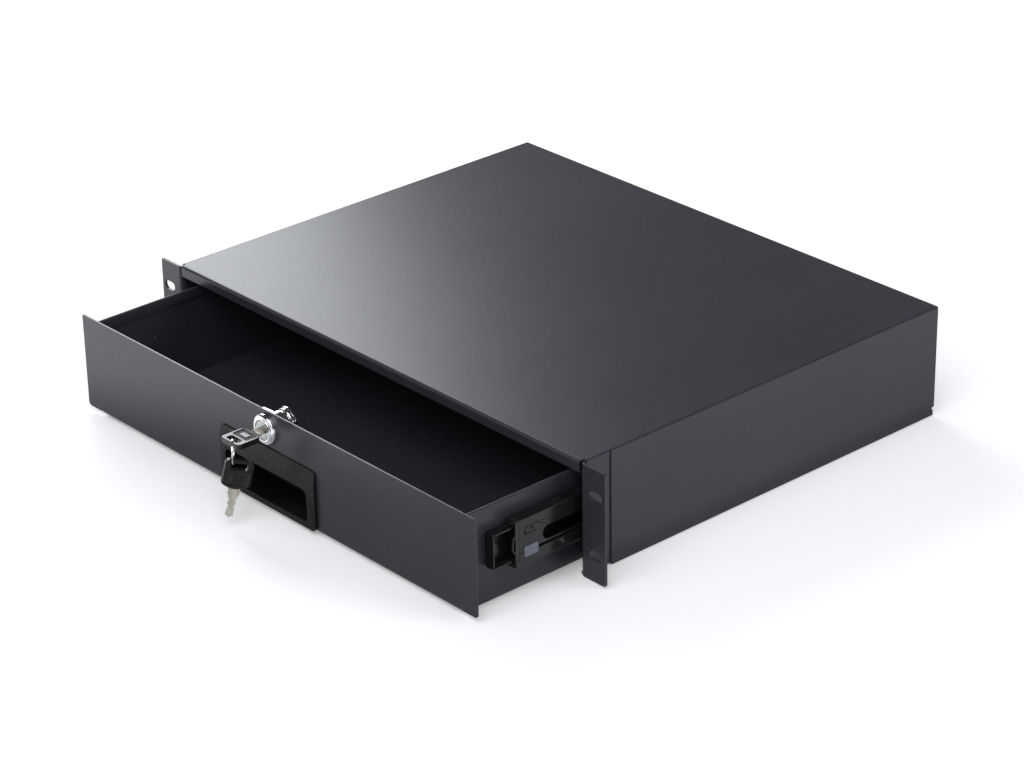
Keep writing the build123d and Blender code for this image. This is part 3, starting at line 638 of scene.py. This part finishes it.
def placeCamera(look):
    bpy.ops.object.camera_add()
    eye = bpy.context.object
    eye.name = "camera"
    turned = Matrix.Rotation(radians(look["turn"]), 4, "Z")
    tilted = Matrix.Rotation(radians(90 - look["tilt"]), 4, "X")
    rolled = Matrix.Rotation(radians(look["roll"]), 4, "Z")
    eye.matrix_world = Matrix.Translation(look["place"]) @ turned @ tilted @ rolled
    eye.data.lens = look["lens"]
    eye.data.sensor_width = look["sensor"]
    eye.data.clip_end = look["farEnd"]
    bpy.context.scene.camera = eye


def placeLamp(name, look, colour):
    bpy.ops.object.light_add(type="AREA", location=look["place"])
    lamp = bpy.context.object
    lamp.name = name
    toAim = (Vector(look["aim"]) - Vector(look["place"])).to_track_quat("-Z", "Y").to_matrix()
    lamp.rotation_euler = (toAim @ Matrix.Rotation(radians(look.get("roll", 0)), 3, "Z")).to_euler()
    lamp.data.shape = "RECTANGLE"
    lamp.data.size, lamp.data.size_y = look["size"]
    lamp.data.energy = look["power"]
    lamp.data.color = colour
    lamp.visible_camera = False
    lamp.visible_glossy = look["mirrored"]


def paintedFloorReflection(material, look):
    # painted reflection: a gloss sees the floor as an emission, not as lit, dim next to the object as painted
    # shadow, a bright painted card front left, and the right side brightening outward
    place = placeOnObject(material)
    toPaintedCard = addNode(material, "ShaderNodeVectorMath", operation="DOT_PRODUCT")
    toPaintedCard.inputs[1].default_value = look["paintedCardTowards"]
    link(material, place, toPaintedCard.inputs[0])
    card = spread(material, toPaintedCard.outputs["Value"], *look["card"], *look["paintedCardEdge"], kind="SMOOTHSTEP")
    split = addNode(material, "ShaderNodeSeparateXYZ")
    link(material, place, split.inputs[0])
    outward = spread(material, split.outputs["X"], *look["rightSide"], *look["rightReach"])
    isRight = combine(material, "GREATER_THAN", split.outputs["X"], look["rightStart"])
    # the painted reflection's glow, seen only in a gloss
    light = addNode(material, "ShaderNodeEmission", Color=look["paintedReflectionColour"])
    link(material, choose(material, isRight, card, outward), light.inputs["Strength"])
    return light.outputs[0]


def makeFloor(look):
    bpy.ops.mesh.primitive_plane_add(size=look["floorSize"], location=(0, 0, look["floorHeight"]))
    floor = bpy.context.object
    floor.name = "floor"
    bpy.ops.object.transform_apply(location=True)
    material = newMaterial("paleFloor", look["floorColour"], look["floorRoughness"], specular=0.0)
    nodes = material.node_tree.nodes
    path = addNode(material, "ShaderNodeLightPath")
    # only the eye sees the floor glow, and more so far off, where the lamps don't reach
    away = addNode(material, "ShaderNodeVectorMath", operation="LENGTH")
    link(material, placeOnObject(material), away.inputs[0])
    reach = spread(material, away.outputs["Value"], *look["glow"], *look["glowReach"])
    strength = combine(material, "MULTIPLY", path.outputs["Is Camera Ray"], reach)
    glow = addNode(material, "ShaderNodeEmission", Color=(1, 1, 1, 1))
    link(material, strength, glow.inputs["Strength"])
    both = addNode(material, "ShaderNodeAddShader")
    link(material, nodes["Principled BSDF"].outputs[0], both.inputs[0])
    link(material, glow.outputs[0], both.inputs[1])
    choice = addNode(material, "ShaderNodeMixShader")
    # gloss rays see the painted floor reflection in place of the lit floor
    link(material, path.outputs["Is Glossy Ray"], choice.inputs["Fac"])
    link(material, both.outputs[0], choice.inputs[1])
    link(material, paintedFloorReflection(material, look), choice.inputs[2])
    link(material, choice.outputs[0], nodes["Material Output"].inputs["Surface"])
    dress(floor, material)


def makeSky(look):
    world = bpy.data.worlds.new("studioSky")
    world.use_nodes = True
    bpy.context.scene.world = world
    background = world.node_tree.nodes["Background"]
    background.inputs["Color"].default_value = (1, 1, 1, 1)
    # white to the eye, fading upward in a gloss, and a faint fill for light on its way to a surface
    path = addNode(world, "ShaderNodeLightPath")
    toEye = path.outputs["Is Camera Ray"]
    direct = combine(world, "MAXIMUM", toEye, path.outputs["Is Glossy Ray"])
    direct = combine(world, "MAXIMUM", direct, path.outputs["Is Transmission Ray"])
    where = addNode(world, "ShaderNodeTexCoord")
    split = addNode(world, "ShaderNodeSeparateXYZ")
    link(world, where.outputs["Generated"], split.inputs[0])
    fade = spread(world, split.outputs["Z"], *look["sky"], *look["skyFade"])
    seen = choose(world, toEye, fade, look["skySeen"])
    link(world, choose(world, direct, look["skyFill"], seen), background.inputs["Strength"])


placeCamera(camera)
for name, look in lamps.items():
    placeLamp(name, look, studio["lampColour"])
makeFloor(studio)
makeSky(studio)
bpy.context.scene.view_settings.view_transform = "Standard"
print("studio ready")
